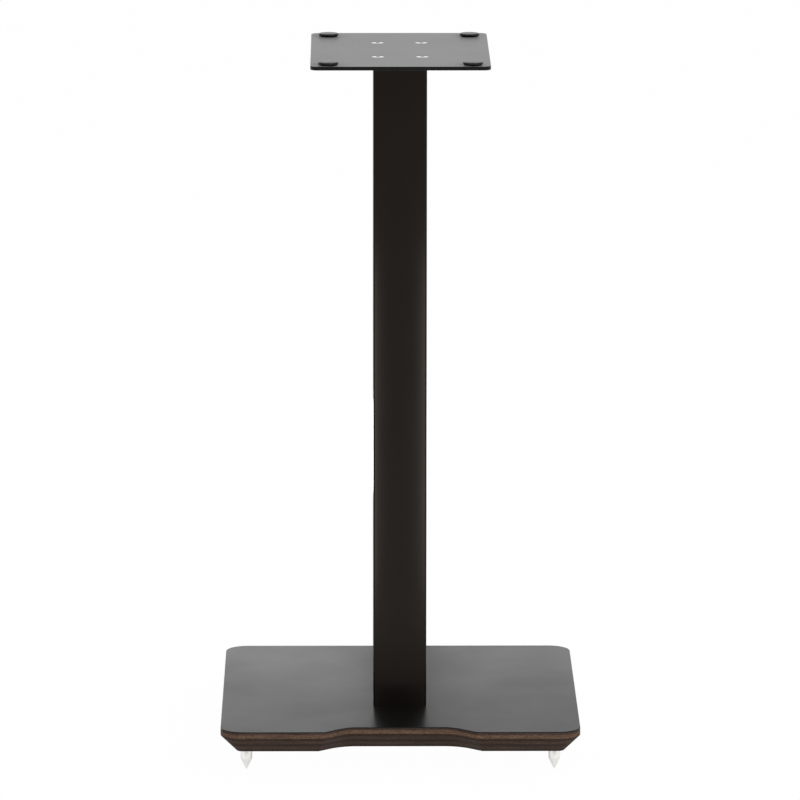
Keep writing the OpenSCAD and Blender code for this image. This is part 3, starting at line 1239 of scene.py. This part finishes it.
@dataclass(frozen=True)
class Fasteners:
    """The screws, washers and inserts."""

    WASHER_D = 12.0  # Diameter of a washer

    thread_r: float = 3.0  # Outer radius of the threads
    thread_bevel: float = 0.8  # Bevel at the end of a thread
    sunk_head_r: float = 5.8  # Radius of a countersunk head
    sunk_drop: float = 0.1  # How far it lies below the plate's face
    sunk_key: float = 4.0  # Key width of its socket
    sunk_key_depth: float = 2.3  # Depth of its socket
    plate_grip: float = 16.0  # How far the plate's screws reach into the post
    cap_head_r: float = 5.0  # Radius of a base screw's head
    cap_head_h: float = 6.0  # Height of the head
    cap_key: float = 5.0  # Key width of its socket
    cap_key_depth: float = 3.0  # Depth of its socket
    base_grip: float = 16.0  # How far the base's screws reach into the post
    insert_bore_r: float = 3.05  # Radius of an insert's thread
    insert_r: float = 5.5  # Outer radius of an insert
    insert_flange_r: float = 7.0  # Radius of its flange
    insert_flange_t: float = 1.2  # Thickness of its flange
    insert_l: float = 15.0  # Length of an insert
    barb_pitch: float = 2.3  # Distance between the barbs that hold an insert
    barb_depth: float = 0.45  # Depth of the barbs
    nut_thread: float = -0.6  # Share of the threads' full depth in an insert, cut outward

    def build(self, levels: Levels, lathe: Lathe, spikes: Sequence[Vector]) -> None:
        """Build every fastener.

        Args:
            levels: The frame's levels.
            lathe: The tool that turns them.
            spikes: The places of the spikes.
        """
        low, high = levels.plate
        foot = levels.board[0].z
        washer_low, washer_high = millimetres(*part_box("base_screw_washers"))
        plate_screw = self.sunk_screw(high.z - low.z - self.sunk_drop + self.plate_grip)
        base_screw = self.cap_screw(levels.post[0].z - washer_low.z + self.base_grip)
        washer = self.washer(washer_high.z - washer_low.z)
        sunk, hung = levels.ports(high.z - self.sunk_drop), levels.ports(washer_low.z)
        under = [Vector((p.x, p.y, foot)) for p in spikes]
        inserts = (
            "insert_front_left", "insert_front_right", "insert_rear_left", "insert_rear_right",
        )
        zinc, brass = (Look.SCREW, "screw_zinc"), (Look.INSERT, "insert_brass")
        for name, section, places, (look, slot), nodes in (
            ("countersunk_screws", plate_screw, sunk, zinc, ("top_plate_screws",)),
            ("plain_washers", washer, hung, zinc, ("base_screw_washers",)),
            ("socket_cap_screws", base_screw, hung, zinc, ("base_screws",)),
            ("brass_inserts", self.insert(), under, brass, inserts),
        ):
            settle(lathe.turn(name, section, places, look), "stand", slot, *nodes)

    def sunk_screw(self, length: float) -> Section:
        """Half section of a countersunk screw whose head ends at height 0.

        Args:
            length: The screw's length.

        Returns:
            The section, from its thread's end up.
        """
        neck = -(self.sunk_head_r - self.thread_r)
        key = self.sunk_key / 2
        rim, mark = 0.25, 0.15
        return Section((
            Station(0.0, -length),
            Station(self.thread_r - self.thread_bevel, -length),
            Station(self.thread_r, self.thread_bevel - length, thread=1.0),
            Station(self.thread_r, neck, thread=1.0),
            Station(self.sunk_head_r, -rim, mark),
            Station(self.sunk_head_r, 0.0, mark),
            Station(key, 0.0, hexagon=1.0),
            Station(key, -self.sunk_key_depth, hexagon=1.0),
            Station(0.0, -self.sunk_key_depth),
        ))

    def cap_screw(self, length: float) -> Section:
        """Half section of a cap screw whose head hangs below height 0.

        Args:
            length: The length below the head.

        Returns:
            The section, from its socket up.
        """
        key = self.cap_key / 2
        crown, foot = 0.6, 0.2
        return Section((
            Station(0.0, self.cap_key_depth - self.cap_head_h),
            Station(key, self.cap_key_depth - self.cap_head_h, hexagon=1.0),
            Station(key, -self.cap_head_h, hexagon=1.0),
            Station(self.cap_head_r, -self.cap_head_h, crown),
            Station(self.cap_head_r, 0.0, foot),
            Station(self.thread_r, 0.0),
            Station(self.thread_r, length / 2, thread=1.0),
            Station(self.thread_r, length - self.thread_bevel, thread=1.0),
            Station(self.thread_r - self.thread_bevel, length),
            Station(0.0, length),
        ))

    def washer(self, thickness: float) -> Section:
        """Half section of a washer that stands on height 0.

        Args:
            thickness: The washer's thickness.

        Returns:
            The closed section.
        """
        bore, edge = 3.3, 0.2
        rim = self.WASHER_D / 2
        return Section((
            Station(bore, 0.0, edge), Station(rim, 0.0, edge),
            Station(rim, thickness, edge), Station(bore, thickness, edge),
        ), closed=True)

    def insert(self) -> Section:
        """Half section of a flanged insert, barbed outside and threaded inside.

        Returns:
            The closed section, from the flange up and back inside.
        """
        mark, bevel = 0.2, self.thread_bevel / 2
        stations = [
            Station(self.insert_bore_r + bevel, 0.0),
            Station(self.insert_flange_r, 0.0, mark),
            Station(self.insert_flange_r, self.insert_flange_t, mark),
            Station(self.insert_r - self.barb_depth, self.insert_flange_t),
        ]
        level = self.insert_flange_t + self.barb_pitch
        while level < self.insert_l - self.barb_pitch / 2:
            stations += [
                Station(self.insert_r, level - self.barb_pitch / 4),
                Station(self.insert_r - self.barb_depth, level),
            ]
            level += self.barb_pitch
        stations += [
            Station(self.insert_r, self.insert_l - self.thread_bevel),
            Station(self.insert_r - self.thread_bevel, self.insert_l),
            Station(self.insert_bore_r + bevel, self.insert_l),
            Station(self.insert_bore_r, self.insert_l - bevel, thread=self.nut_thread),
            Station(self.insert_bore_r, bevel, thread=self.nut_thread),
        ]
        return Section(tuple(stations), closed=True)


@dataclass(frozen=True)
class Pads:
    """The four rubber pads on the plate."""

    foot_r: float = 7.8  # Radius of the foot
    taper_h: float = 1.3  # Height over which a pad widens from its foot
    waist_r: float = 0.5  # Radius that rounds the pad where the taper ends
    rim_r: float = 1.6  # Radius of the upper rim
    dome: float = 0.25  # How far the middle stands above the rim
    segments: int = 64  # Segments round the axis

    def build(self, lathe: Lathe) -> None:
        """Build the pads where the frame has them.

        Args:
            lathe: The tool that turns them.
        """
        names = ["pad_front_left", "pad_front_right", "pad_rear_left", "pad_rear_right"]
        boxes = [millimetres(*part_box(name)) for name in names]
        low, high = boxes[0]
        places = [Vector(((a.x + b.x) / 2, (a.y + b.y) / 2, a.z)) for a, b in boxes]
        section = self.section((high.x - low.x) / 2, high.z - low.z)
        pads = lathe.turn("rubber_pads", section, places, Look.RUBBER, self.segments)
        settle(pads, "stand", "pad_rubber", *names)

    def section(self, radius: float, height: float) -> Section:
        """Half section of a pad.

        Args:
            radius: The pad's radius.
            height: Its height.

        Returns:
            The section, from the foot up.
        """
        mark, ease, rings = 0.2, 0.5, 5
        top = [
            Station(radius * k / rings, height - self.dome * (k / rings) ** 2, ease)
            for k in range(rings - 1, -1, -1)
        ]
        return Section((
            Station(0.0, 0.0),
            Station(self.foot_r, 0.0, mark),
            Station(radius, self.taper_h, self.waist_r),
            Station(radius, height - self.dome, self.rim_r),
            *top,
        ))


@dataclass(frozen=True)
class Spikes:
    """The four turned spikes, each of which moves on its own."""

    NODES = ("spike_front_left", "spike_front_right", "spike_rear_left", "spike_rear_right")

    radius: float = 5.4  # Radius of a spike's body
    cone_h: float = 10.3  # Height at which the cone would meet the body
    shoulder_r: float = 3.5  # Radius of the rounded shoulder between them
    tip_r: float = 0.4  # Radius of the blunted point
    top_bevel: float = 0.5  # Bevel at the upper end of the body
    stud_r: float = 3.0  # Outer radius of the stud's thread
    stud_bevel: float = 0.8  # Bevel at the end of the stud
    relief_h: float = 0.8  # Height of the plain relief under the thread
    relief_in: float = 0.6  # Depth of that relief
    segments: int = 60  # Segments round the axis

    def places(self) -> dict[str, Vector]:
        """The foot of each spike's axis, by the name of its node.

        Returns:
            The points on the floor.
        """
        found = {}
        for name in self.NODES:
            low, high = millimetres(*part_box(name))
            found[name] = Vector(((low.x + high.x) / 2, (low.y + high.y) / 2, low.z))
        return found

    def build(self, levels: Levels, lathe: Lathe) -> None:
        """Build a spike for each of the frame's spike bodies.

        Args:
            levels: The frame's levels.
            lathe: The tool that turns them.
        """
        low, high = millimetres(*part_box(self.NODES[0]))
        section = self.section(levels.board[0].z - low.z, high.z - low.z)
        for name, place in self.places().items():
            spike = lathe.turn("turned_" + name, section, [place], Look.SPIKE, self.segments)
            settle(spike, name, "spike_chrome", name)

    def section(self, shoulder: float, height: float) -> Section:
        """Half section of a spike.

        Args:
            shoulder: Height at which the body ends under the board.
            height: Height of the stud's end.

        Returns:
            The section, from the point up.
        """
        mark = 0.3
        return Section((
            Station(0.0, 0.0),
            Station(self.tip_r, 0.0, self.tip_r / 2),
            Station(self.radius, self.cone_h, self.shoulder_r),
            Station(self.radius, shoulder - self.top_bevel, mark),
            Station(self.radius - self.top_bevel, shoulder),
            Station(self.stud_r - self.relief_in, shoulder),
            Station(self.stud_r - self.relief_in, shoulder + self.relief_h),
            Station(self.stud_r, shoulder + self.relief_h + self.relief_in, thread=1.0),
            Station(self.stud_r, height - self.stud_bevel, thread=1.0),
            Station(self.stud_r - self.stud_bevel, height),
            Station(0.0, height),
        ))


def settle(piece: Object, body: str, slot: str, *nodes: str) -> None:
    """Tie a finished piece to the frame.

    Args:
        piece: The piece, at the origin.
        body: The body that carries it.
        slot: The record's material slot; not used.
        nodes: The frame's nodes that it stands for.
    """
    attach(piece, body)
    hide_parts(*nodes)
    LOG.info("%s: %d faces, rides on %s", piece.name, len(piece.data.polygons), body)


# The studio


@dataclass(frozen=True)
class Lamp:
    """A soft area lamp."""

    name: str
    place: tuple[float, float, float]  # Where it stands, in metres
    aim: tuple[float, float, float]  # The point that it faces, in metres
    size: tuple[float, float]  # Its width and height, in metres
    power: float  # Its power, in watts

    def build(self) -> None:
        """Add the lamp to the scene."""
        data = bpy.data.lights.new(self.name, "AREA")
        data.shape = "RECTANGLE"
        data.size, data.size_y = self.size
        data.energy = self.power
        lamp = bpy.data.objects.new(self.name, data)
        lamp.location = self.place
        ahead = Vector(self.aim) - Vector(self.place)
        lamp.rotation_euler = ahead.to_track_quat("-Z", "Y").to_euler()
        lamp.visible_camera = False
        bpy.context.scene.collection.objects.link(lamp)


@dataclass(frozen=True)
class Camera:
    """The photograph's camera, as fitted to the stand's edges."""

    lens: float = 304.9  # Focal length
    sensor: float = 36.0  # Width of the sensor
    place: tuple[float, float, float] = (-0.0499, -6.2769, 1.5827)  # Where it stands, in metres
    yaw: float = 0.461  # Turn to the right, in degrees
    pitch: float = 11.37  # Tilt down, in degrees
    roll: float = 0.04  # Turn about its own axis, in degrees

    def build(self) -> None:
        """Add the camera to the scene and use it."""
        data = bpy.data.cameras.new("camera")
        data.lens, data.sensor_width = self.lens, self.sensor
        camera = bpy.data.objects.new("camera", data)
        level = 90.0  # Turn about X at which a camera looks along +Y, in degrees
        pose = Matrix.Translation(self.place)
        for angle, axis in ((-self.yaw, "Z"), (level - self.pitch, "X"), (self.roll, "Z")):
            pose @= Matrix.Rotation(math.radians(angle), 4, axis)
        camera.matrix_world = pose
        bpy.context.scene.collection.objects.link(camera)
        bpy.context.scene.camera = camera


@dataclass(frozen=True)
class Studio:
    """A white room with a pale floor and soft lamps."""

    WHITE = (1.0, 1.0, 1.0, 1.0)

    fill: float = 0.68  # Strength of the room's light on matt surfaces
    dim: float = 0.55  # Brightness of the room's front, behind the camera, in a mirror
    ceiling: float = 0.5  # Brightness of the room above the white backdrop, in a mirror
    # Upward share of a direction at which the backdrop starts to fade into the ceiling, and at
    # which it ends
    backdrop_top: tuple[float, float] = (0.17, 0.32)
    # Backward share of a direction at which the dim front starts to fade into the white back, and
    # at which it ends
    backdrop_side: tuple[float, float] = (-0.6, 0.0)
    # How far in front of the stand the floor is as dim as the room's front, in metres
    dim_until: float = -2.6
    # How far in front of the stand the floor is white in a mirror, in metres
    bright_from: float = -0.7
    # Where in front of the stand the floor fades into a painted shadow of the stand, seen only in a
    # mirror, from and to, in metres
    shade: tuple[float, float] = (-0.64, -0.38)
    # Where that painted shadow turns white again, nearer to the stand, from and to, in metres
    painted_shadow_end: tuple[float, float] = (-0.31, -0.22)
    floor_half: float = 9.0  # Half the floor's width, in metres
    # Height of the floor, in metres. It lies as low as the spikes reach when they are screwed right
    # out, so that it never hides them.
    floor_z: float = -0.0085
    floor_colour: str = "#F4F4F4"  # Colour of the floor, as sRGB hex
    floor_glow: float = 0.985  # Share of the floor that shows plain white to the camera
    # The same share in a mirror, which also shows the floor's own light and shade
    mirror_glow: float = 0.45
    lamps: tuple[Lamp, ...] = (
        Lamp("key", (2.6, -2.6, 2.6), (0.0, 0.0, 0.3), (1.6, 1.6), 66.0),
        Lamp("strip left", (-0.215, -0.75, 0.17), (-0.02, -0.07, 0.17), (0.16, 0.34), 0.48),
        Lamp("strip right", (0.215, -0.75, 0.17), (0.02, -0.07, 0.17), (0.16, 0.34), 0.44),
        Lamp("back left", (-0.225, 0.8, 0.11), (-0.225, 0.0, 0.11), (0.4, 0.1), 0.44),
        Lamp("back right", (0.245, 0.8, 0.11), (0.245, 0.0, 0.11), (0.4, 0.1), 0.33),
    )

    def build(self) -> None:
        """Build the room, the floor, the lamps and the camera."""
        self.build_world()
        self.build_floor()
        for lamp in self.lamps:
            lamp.build()
        Camera().build()
        bpy.context.scene.view_settings.view_transform = "Standard"

    def plain(self, graph: Graph) -> Socket:
        """1 for a ray from the camera or through glass, else 0."""
        path = graph.add("ShaderNodeLightPath", {}).outputs
        return graph.math("MAXIMUM", path["Is Camera Ray"], path["Is Transmission Ray"])

    def seen(self, graph: Graph, plain_share: float, mirror_share: float) -> Socket:
        """How much of the plain background a ray sees.

        Args:
            graph: The tree of the world or of the floor.
            plain_share: The share for camera and transmission rays.
            mirror_share: The share for glossy rays.

        Returns:
            The share, which is 0 for the light on matt surfaces.
        """
        path = graph.add("ShaderNodeLightPath", {}).outputs
        mirrored = graph.math("MULTIPLY", path["Is Glossy Ray"], mirror_share)
        plain = graph.math("MULTIPLY", self.plain(graph), plain_share)
        return graph.math("MAXIMUM", plain, mirrored)

    def whiteness(
        self, graph: Graph, ahead: Socket, low: float, high: float, white: Socket
    ) -> Socket:
        """How white a ray sees the room: 1 for the camera, and in a mirror from dim to white."""
        mirrored = graph.ramp(ahead, low, high, self.dim, white, soft=True)
        return graph.math("MAXIMUM", self.plain(graph), mirrored)

    def build_world(self) -> None:
        """Light the room evenly, and show it as white."""
        world = bpy.data.worlds.new("white room")
        graph = Graph.of_owner(world)
        way = graph.axes("Generated")
        above = graph.ramp(way["Z"], *self.backdrop_top, 1.0, self.ceiling, soft=True)
        white = self.whiteness(graph, way["Y"], *self.backdrop_side, above)
        strength = graph.ramp(self.seen(graph, 1.0, 1.0), 0.0, 1.0, self.fill, white)
        light = graph.add("ShaderNodeBackground", {"Color": self.WHITE, "Strength": strength})
        graph.add("ShaderNodeOutputWorld", {"Surface": light.outputs[0]})
        bpy.context.scene.world = world

    def build_floor(self) -> None:
        """Lay the floor, which keeps a soft trace of the stand's shadow."""
        half, z = self.floor_half, self.floor_z
        mesh = bpy.data.meshes.new("floor")
        corners = [(-half, -half, z), (half, -half, z), (half, half, z), (-half, half, z)]
        mesh.from_pydata(corners, [], [(0, 1, 2, 3)])
        floor = shown("floor", mesh)
        paint = bpy.data.materials.new("matt white floor paint")
        graph = Graph.of_owner(paint)
        matt = graph.add("ShaderNodeBsdfDiffuse", {"Color": linear(self.floor_colour)})
        ahead = graph.axes()["Y"]
        # Painted shadow: in a mirror the floor goes dark in a band in front of the stand, for its
        # shadow
        beyond = graph.ramp(ahead, *self.shade, 1.0, 0.0, soft=True)
        near = graph.ramp(ahead, *self.painted_shadow_end, 0.0, 1.0, soft=True)
        painted_floor_shadow = graph.math("MAXIMUM", beyond, near)
        white = graph.add("ShaderNodeEmission", {
            "Color": self.WHITE,
            "Strength": self.whiteness(graph, ahead, self.dim_until, self.bright_from, painted_floor_shadow),
        })
        share = self.seen(graph, self.floor_glow, self.mirror_glow)
        mixed = graph.add("ShaderNodeMixShader", {
            "Fac": share, 1: matt.outputs[0], 2: white.outputs[0],
        })
        graph.add("ShaderNodeOutputMaterial", {"Surface": mixed.outputs[0]})
        mesh.materials.append(paint)


def main() -> None:
    """Build the studio and the stand, piece by piece."""
    logging.basicConfig(level=logging.INFO, format="%(name)s: %(message)s")
    Studio().build()
    levels = Levels.of_frame()
    lathe, press = Lathe(), Press()
    spikes = Spikes()
    feet = list(spikes.places().values())
    Base().build(levels, feet)
    Post().build(levels, press)
    TopPlate().build(levels)
    Fasteners().build(levels, lathe, feet)
    Pads().build(lathe)
    spikes.build(levels, lathe)


if __name__ == "__main__":
    main()
